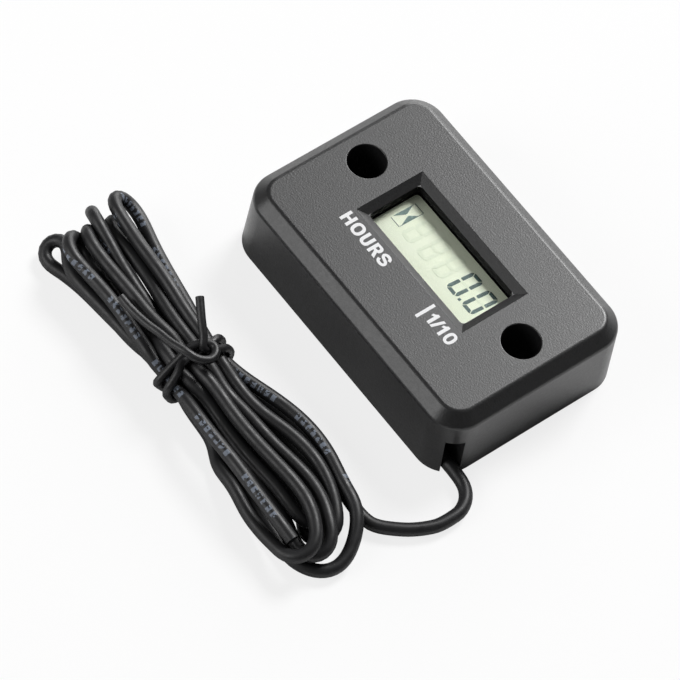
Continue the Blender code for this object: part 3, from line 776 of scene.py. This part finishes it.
wraps = even(wraps, wrap_step)
smooth_kernel = np.array((1, 2, 3, 2, 1)) / 9
for axis in range(3):
    wraps[:, axis] = np.convolve(np.pad(wraps[:, axis], 2, mode="edge"), smooth_kernel, mode="valid")
tie_path = catmull(np.vstack([upright_end, wraps[::knot_every], lying_end]), tie_step)
tie_finish = grained("tie plastic", (0.014, 0.014, 0.015), 0.42, size=0.5 * MM, depth=0.02 * MM)
tie = tube("wire_tie", tie_path, tie_radius, tie_finish, sides=12)
carry(tie, "tie", "hank_tie")
print("tie points", len(tie_path), "lowest", round(tie_path[:, 2].min() - tie_radius, 2))

# %% [markdown]
# ## The housing
# The tub is one moulding: drafted walls, a wide chamfer round the face, a bevelled window, two bored
# screw bosses and a tall slot at one end for the lead. It is cut from a rounded block, with softer
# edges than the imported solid, which it stands for. A subdivided cage would round the edges too, but
# it would lose the flat face and the crisp chamfer.

# %% Sizes of the housing
body = (52.0, 35.0, 13.5)
corner, wall, draft = 5.3, 1.8, 0.6
shoulder, chamfer_wide, chamfer_high, edge_round = 11.6, 2.05, 1.9, 0.4
face_under, board_top = 11.1, 7.2
screw_x, screw_y = 18.7, 1.2
boss_radius, head_radius, shank_radius, seat_z = 4.5, 3.0, 1.7, 4.0
rib_end, rib_half, rib_foot = 25.2, 0.6, 3.0
post_x, post_y, post_radius, post_bore, post_bore_top = 12.0, 13.3, 1.6, 0.9, 10.2
window_y, window_corner, bevel = 0.92, 0.7, 1.4
opening, opening_top = (22.8, 9.75), 12.65
skirt, skirt_foot, sheet_pocket = (27.6, 14.55), 10.2, (25.0, 11.95)
slot_low_y, slot_high_y, slot_top, slot_start, slot_end = -16.05, -13.55, 7.8, 15.4, 27.0
lead_rib, lead_rib_start = 1.2, 17.5
under_rim, over_roof, over_face, window_foot = -2, 13, 14.5, 9


def soft_block():
    """The outside of the tub, with its draft, its chamfer and the softened ridges."""
    bm = plate_bm(body[0], body[1], corner, 0, shoulder, segments=20)
    top = [f for f in bm.faces if all(abs(v.co.z - shoulder) < 1e-4 for v in f.verts)]
    bmesh.ops.scale(bm, vec=((body[0] - draft) / body[0], (body[1] - draft) / body[1], 1),
                    verts=top[0].verts)
    bmesh.ops.inset_region(bm, faces=top, thickness=chamfer_wide, use_even_offset=True)
    bmesh.ops.translate(bm, vec=(0, 0, chamfer_high), verts=top[0].verts)
    ridges = [e for e in bm.edges if all(v.co.z > shoulder - 1e-4 for v in e.verts)
              and abs(e.verts[0].co.z - e.verts[1].co.z) < 1e-4]
    round_edges(bm, ridges, edge_round, 5)
    return bm


housing = to_object("housing_shell", soft_block(), housing_finish)
print("block faces:", len(housing.data.polygons))

# %% [markdown]
# ### The hollow
# The hollow is made as a core, as in the mould. The bosses and their ribs, the posts, the skirt round
# the window and the rib beside the lead are cut out of the core, and then one cut leaves them standing.

# %% The hollow
def round_bm(radius, low_z, high_z, centre, sides=48):
    return turned_bm([(0, low_z), (radius, low_z), (radius, high_z), (0, high_z)], centre, sides)


def tub_core():
    """The hollow, less what stands in the tub."""
    core = to_object("core", plate_bm(body[0] - 2 * wall, body[1] - 2 * wall, corner - wall, -1,
                                      face_under, segments=16), None)
    stand = []
    for side in (-1, 1):
        stand.append(round_bm(boss_radius, under_rim, over_roof, (side * screw_x, screw_y)))
        inner, outer = sorted((side * screw_x, side * rib_end))
        stand.append(block_bm((inner, screw_y - rib_half, rib_foot),
                              (outer, screw_y + rib_half, over_roof)))
        for end in (-1, 1):
            stand.append(round_bm(post_radius, board_top + 0.2, over_roof,
                                  (side * post_x, end * post_y), 32))
    stand.append(plate_bm(*skirt, window_corner, skirt_foot, over_roof, (0, window_y), 6))
    stand.append(block_bm((lead_rib_start, slot_high_y, under_rim),
                          (rib_end, slot_high_y + lead_rib, slot_top + lead_rib)))
    cut(core, *stand)
    return core


cut(housing, tub_core())
print("faces with the hollow:", len(housing.data.polygons))

# %% [markdown]
# ### Window, screw holes and slot
# The window is sunk from the face in three steps: the sloping bevel, the opening, and from behind the
# pocket of the clear sheet. Each screw hole is a turned form, so its mouth can be rounded a little.
# The slot for the lead comes last, through the end wall down to the rim.

# %% Window, screw holes and slot
bevel_depth = body[2] - opening_top
flare = block_bm((-opening[0] / 2, window_y - opening[1] / 2, opening_top),
                 (opening[0] / 2, window_y + opening[1] / 2, body[2] + bevel_depth))
lid = [f for f in flare.faces if f.normal.z > 0.9]
for vertex in lid[0].verts:
    vertex.co.x += math.copysign(2 * bevel, vertex.co.x)
    vertex.co.y += math.copysign(2 * bevel, vertex.co.y - window_y)
cut(housing, flare, plate_bm(*opening, window_corner, window_foot, opening_top + 0.1, (0, window_y), 6),
    plate_bm(*sheet_pocket, window_corner, window_foot, face_under, (0, window_y), 6))
lip = 0.18
for side in (-1, 1):
    mouth = [(head_radius + lip * (1 - math.cos(a)), body[2] - lip + lip * math.sin(a))
             for a in np.linspace(0, math.pi / 2, 5)]
    head = turned_bm([(0, seat_z), (head_radius - 0.1, seat_z), (head_radius, seat_z + 0.1), *mouth,
                      (head_radius + lip, over_face), (0, over_face)], (side * screw_x, screw_y), 64)
    cut(housing, head, round_bm(shank_radius, -1, 5, (side * screw_x, screw_y), 40))
    for end in (-1, 1):
        cut(housing, round_bm(post_bore, board_top, post_bore_top, (side * post_x, end * post_y), 24))
cut(housing, block_bm((slot_start, slot_low_y, -1), (slot_end, slot_high_y, slot_top)))
print("faces with all cuts:", len(housing.data.polygons))

# %% [markdown]
# ### Shading the housing
# Flat faces beside narrow rounded ones shade badly when every face counts the same, so the normals
# are weighted by area. The walls of the window opening are painted shade: the same moulding, made
# darker and duller, so they stay black and don't mirror the display.

# %% Shading the housing
housing.data.shade_smooth()
housing.data.set_sharp_from_angle(angle=math.radians(30))
weigh = housing.modifiers.new("weighted normals", "WEIGHTED_NORMAL")
weigh.keep_sharp = True
settle(housing)
# Painted shade: the walls of the window opening take the darker, duller finish.
housing.data.materials.append(painted_shade_wall_finish)
for face in housing.data.polygons:
    x, y, z = face.center / MM
    in_opening = abs(x) < opening[0] / 2 + 0.05 and abs(y - window_y) < opening[1] / 2 + 0.05
    if in_opening and face_under - 0.1 < z < opening_top and abs(face.normal.z) < 0.3:
        face.material_index = 1
carry(housing, "housing", "housing")
print("housing faces", len(housing.data.polygons), "in the opening",
      sum(face.material_index for face in housing.data.polygons))

# %% [markdown]
# ## Window and display
# A clear sheet lies under the bevelled opening. Behind it the display has a cream green ground, a
# little cloudy. Figures that are on are dark, and the others are only just darker than the ground.

# %% Window and display ground
sheet, sheet_low, sheet_high = (24.6, 11.55), 10.3, 10.9
window = to_object("window_sheet", plate_bm(*sheet, window_corner, sheet_low, sheet_high, (0, window_y), 8),
                   lens_finish)
carry(window, "lens", "window_lens")

ground = new_finish("display ground", (0.87, 0.95, 0.74), 0.35)
ramp(ground, noise(ground, 160.0), (dark_stop, (0.86, 0.945, 0.72)), (light_stop, (0.885, 0.96, 0.755)))
active = new_finish("display figure on", (0.015, 0.06, 0.052), 0.5)
icon_dark = new_finish("display icon", (0.055, 0.13, 0.11), 0.4)
ghost = new_finish("display figure off", (0.80, 0.89, 0.68), 0.4)
ground_top = 10.1
print("window faces:", len(window.data.polygons))

# %% [markdown]
# ### Drawing flat shapes
# Figures and letters are flat shapes with a little height. A filled 2D curve turns closed outlines
# into faces and takes a loop within a loop as a hole, which a bare face can't have.

# %% Drawing flat shapes
film_low, film_high, ghost_high = ground_top + 0.02, ground_top + 0.05, ground_top + 0.035


def box(x0, y0, x1, y1):
    return [(x0, y0), (x1, y0), (x1, y1), (x0, y1)]


def drawn(name, outlines, low_z, high_z, finish, slot):
    """Closed outlines, filled as one drawing and raised."""
    curve = bpy.data.curves.new(name, "CURVE")
    curve.dimensions = "2D"
    curve.fill_mode = "BOTH"
    curve.extrude = (high_z - low_z) / 2
    for outline in outlines:
        spline = curve.splines.new("POLY")
        spline.points.add(len(outline) - 1)
        for point, (x, y) in zip(spline.points, outline):
            point.co = (x, y, 0, 1)
        spline.use_cyclic_u = True
    source = link(bpy.data.objects.new(name + "_source", curve))
    bpy.context.view_layer.update()
    mesh = bpy.data.meshes.new_from_object(source.evaluated_get(bpy.context.evaluated_depsgraph_get()))
    bpy.data.objects.remove(source, do_unlink=True)
    bm = bmesh.new()
    bm.from_mesh(mesh)
    bpy.data.meshes.remove(mesh)
    bmesh.ops.translate(bm, vec=(0, 0, (low_z + high_z) / 2), verts=bm.verts)
    bmesh.ops.remove_doubles(bm, verts=bm.verts, dist=1e-4)
    return carry(to_object(name, bm, finish), slot)


# %% [markdown]
# ### Figures of the display
# The figures lean a little, and gaps set their seven segments apart. One figure is drawn from its
# sizes, its upper half as the mirror of its lower, and set five times. The last two are switched on.

# %% Figures of the display
figure_wide, figure_tall, bar, lean = 2.5, 5.1, 0.6, 0.085
figure_base = -0.73
middle_gap = 0.28


def placed(outline, left, slant=lean):
    return [(left + x + slant * y, figure_base + y) for x, y in outline]


def figure_bars(left):
    """The seven segments of a figure, a to g, from its left end."""
    w, h, t, half = figure_wide, figure_tall, bar, figure_tall / 2
    foot = [(0.42, 0.05), (0.6, 0), (w - 0.6, 0), (w - 0.42, 0.05), (w - t - 0.1, t - 0.03),
            (t + 0.1, t - 0.03)]
    post = [(0, half - middle_gap), (0, 0.62), (0.05, 0.42), (0.16, 0.26), (0.3, 0.14),
            (t, t + 0.06), (t, half - middle_gap), (t - 0.1, half - middle_gap + 0.1),
            (0.1, half - middle_gap + 0.1)]
    cross = [(t * 0.55, half), (t, half - 0.24), (w - t, half - 0.24), (w - t * 0.55, half),
             (w - t, half + 0.24), (t, half + 0.24)]
    over = [(x, h - y) for x, y in foot]
    high = [(x, h - y) for x, y in post]
    shapes = [over, [(w - x, y) for x, y in high], [(w - x, y) for x, y in post], foot, post, high, cross]
    return [placed(shape, left) for shape in shapes]


on, off = [], []
figures = ((-7.45, ""), (-3.75, ""), (-0.05, ""), (3.64, "abcdef"), (7.34, "abcdef"))
decimal_point = [(6.49, -0.68), (6.93, -0.68), (6.97, -0.24), (6.53, -0.24)]
for left, lit in figures:
    for bar_name, outline in zip("abcdefg", figure_bars(left)):
        (on if bar_name in lit else off).append(outline)
on.append(decimal_point)
drawn("figures_on", on, film_low, film_high, active, "polariser")
drawn("figures_off", off, film_low, ghost_high, ghost, "polariser")
print("bars on and off:", len(on), len(off))

# %% [markdown]
# ### Hourglass
# The hourglass at the left shows that the meter counts. Two dark flanks within a thin frame leave the
# pale glass between them, so it is drawn as five outlines.

# %% Hourglass
icon_left, icon_lean = -10.58, 0.02
icon = [[(0.29, 4.68), (0.29, 0.95), (1.1, 2.68), (1.1, 3.0)],
        [(2.29, 4.04), (2.29, 1.0), (1.54, 2.68), (1.54, 2.95)],
        box(0.29, 4.99, 2.36, 5.09), box(0.37, 0.45, 2.31, 0.55), box(2.31, 0.63, 2.38, 4.91)]
drawn("hourglass", [placed(outline, icon_left, icon_lean) for outline in icon], film_low, film_high,
      icon_dark, "polariser")
print("hourglass outlines:", len(icon))

# %% [markdown]
# ## Lettering
# The words below the window are pad printed in white: a thin, slightly raised film of ink. A text
# object would need the right font, so each letter is drawn from its own outlines, with one height and
# one stroke.

# %% Ink and strokes
ink = new_finish("white ink", (0.80, 0.80, 0.81), 0.5)
bump(ink, noise(ink, 3000.0), 0.006 * MM)
tall, stem = 2.21, 0.56


def oval(x0, y0, x1, y1, power=2.4, count=36):
    """A closed loop between an ellipse and a rectangle."""
    points = []
    for angle in np.linspace(0, math.tau, count, endpoint=False):
        c, s = math.cos(angle), math.sin(angle)
        points.append(((x0 + x1) / 2 + (x1 - x0) / 2 * math.copysign(abs(c)**(2 / power), c),
                       (y0 + y1) / 2 + (y1 - y0) / 2 * math.copysign(abs(s)**(2 / power), s)))
    return points


def ribbon(knots_2d, width):
    """A stroke of even width along a smooth line."""
    line = catmull([(x, y, 0) for x, y in knots_2d], 0.08)[:, :2]
    along = unit(np.gradient(line, axis=0))
    aside = np.stack([-along[:, 1], along[:, 0]], 1) * width / 2
    return [tuple(p) for p in (*(line + aside), *(line - aside)[::-1])]


print("letter height and stroke:", tall, stem)

# %% [markdown]
# ### Letters
# Each letter is a list of closed outlines, from its left foot. Those within another are its holes.

# %% Letters
def letter_h(w=1.86):
    mid = tall * 0.53
    return [[(0, 0), (stem, 0), (stem, mid - 0.22), (w - stem, mid - 0.22), (w - stem, 0), (w, 0), (w, tall),
             (w - stem, tall), (w - stem, mid + 0.22), (stem, mid + 0.22), (stem, tall), (0, tall)]]


def letter_o(w=2.07, side=0.56):
    return [oval(0, -0.03, w, tall + 0.03), oval(side, 0.42, w - side, tall - 0.42)]


def letter_u(w=1.71):
    outer = [p for p in oval(0, -0.03, w, 1.75) if p[1] < 0.85]
    inner = [p for p in oval(stem, 0.42, w - stem, 1.55) if p[1] < 0.95]
    outer.sort()
    inner.sort(reverse=True)
    return [[(0, tall), *outer, (w, tall), (w - stem, tall), *inner, (stem, tall)]]


def letter_r(w=1.81):
    bowl = [(x, y) for x, y in oval(0.4, 0.92, 1.68, tall) if x > 1.04]
    bowl.sort(key=lambda p: p[1])
    hole = [(x, y) for x, y in oval(0.5, 1.3, 1.14, tall - 0.4) if x > 0.82]
    hole.sort(key=lambda p: p[1])
    return [[(0, 0), (stem, 0), (stem, 0.9), (0.72, 0.9), (1.18, 0), (w, 0), (1.3, 0.98), *bowl, (0, tall)],
            [(stem, 1.3), *hole, (stem, tall - 0.4)]]


def letter_s():
    knots_2d = [(1.61, 1.48), (1.45, 1.83), (0.98, 1.98), (0.5, 1.88), (0.3, 1.58), (0.5, 1.28),
                (0.98, 1.13), (1.45, 0.95), (1.64, 0.62), (1.45, 0.31), (0.96, 0.2), (0.47, 0.32),
                (0.27, 0.72)]
    return [ribbon(knots_2d, 0.48)]


def letter_1(w):
    return [[(w - 0.56, 0), (w, 0), (w, tall), (w - 0.44, tall), (w - 0.66, tall - 0.32),
             (w - 1.0, tall - 0.52), (w - 1.0, tall - 0.95), (w - 0.56, tall - 0.76)]]


# %% [markdown]
# ### Setting the words
# The letters are set one by one, because the real print's spacing is uneven. The ink starts just
# inside the face, so that no gap shows under it.

# %% Setting the words
def set_line(glyphs, base):
    return [[(left + x, base + y) for x, y in loop] for left, glyph in glyphs for loop in glyph]


word = set_line([(-13.05, letter_h()), (-10.85, letter_o()), (-8.48, letter_u()), (-6.37, letter_r()),
                 (-4.42, letter_s())], -8.36)
tenths = set_line([(7.78, letter_1(1.12)), (9.05, [[(0, 0), (0.5, 0), (1.2, tall), (0.7, tall)]]),
                   (10.23, letter_1(1.1)), (11.8, letter_o(1.66, 0.5))], -8.5)
ink_low, ink_high = body[2] - 0.005, body[2] + 0.02
printed_pieces = [drawn(name, outlines, ink_low, ink_high, ink, "housing") for name, outlines in
                  (("word_hours", word), ("word_tenths", tenths),
                   ("divider_bar", [box(6.56, -9.3, 7.1, -5.75)]))]
print("lettering faces", [len(piece.data.polygons) for piece in printed_pieces])

# %% [markdown]
# ## The rest of the imported pieces
# The pieces inside keep their imported shapes, because nothing shows them but a section. Each gets the
# finish of what it is made of, with a faint pattern in its colour and gloss. The display glass is the
# exception: it is near black, partly as the dark seal of a display and partly painted shade under the ledge.

# %% Finishes of the imported pieces
def paint(finish, *nodes):
    for node in nodes:
        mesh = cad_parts[node].data
        mesh.materials.clear()
        mesh.materials.append(finish)


def plain(name, colour, roughness, **sockets):
    finish = new_finish(name, colour, roughness, **sockets)
    pattern = noise(finish, 900.0, detail=3.0)
    spread(finish, pattern, roughness * 0.8, roughness * 1.2)
    shade(finish, pattern, colour, 0.9, 1.08)
    return finish


steel = plain("nickel plated steel", (0.60, 0.60, 0.58), 0.28, Metallic=1.0)
paint(ground, "display_polariser")
# The display glass is painted near black: the dark seal that displays have at the edge, and painted shade
# where its edge lies under the window's ledge.
paint(plain("display glass seal and painted shade", (0.010, 0.012, 0.011), 0.2), "display_front_glass", "display_rear_glass")
paint(plain("silver film", (0.62, 0.66, 0.58), 0.35, Metallic=0.6), "display_reflector")
paint(holder_finish, "display_holder")
paint(plain("striped silicone", (0.42, 0.10, 0.14), 0.6), "zebra_strip")
paint(plain("green board varnish", (0.03, 0.16, 0.06), 0.4), "circuit_board")
paint(plain("cast black resin", (0.016, 0.016, 0.016), 0.25), "controller_blob", "potting_compound")
paint(steel, "crystal_can", "coin_cell", "cell_tab_positive", "cell_tab_negative",
      *[f"board_screw_{i}" for i in (1, 2, 3, 4)])
paint(plain("tan ceramic", (0.45, 0.33, 0.20), 0.5), *[f"chip_capacitor_{i}" for i in (1, 2, 3)])
paint(plain("black chip", (0.03, 0.03, 0.03), 0.4), *[f"chip_resistor_{i}" for i in (1, 2, 3)])
paint(plain("stranded copper", (0.72, 0.38, 0.22), 0.3, Metallic=1.0), "lead_conductor")
paint(plain("bright solder", (0.65, 0.65, 0.64), 0.25, Metallic=1.0), "lead_solder_joint")
print("finishes in all:", len(bpy.data.materials))

# %% [markdown]
# ## Finish

# %% Finish
print("scene built")
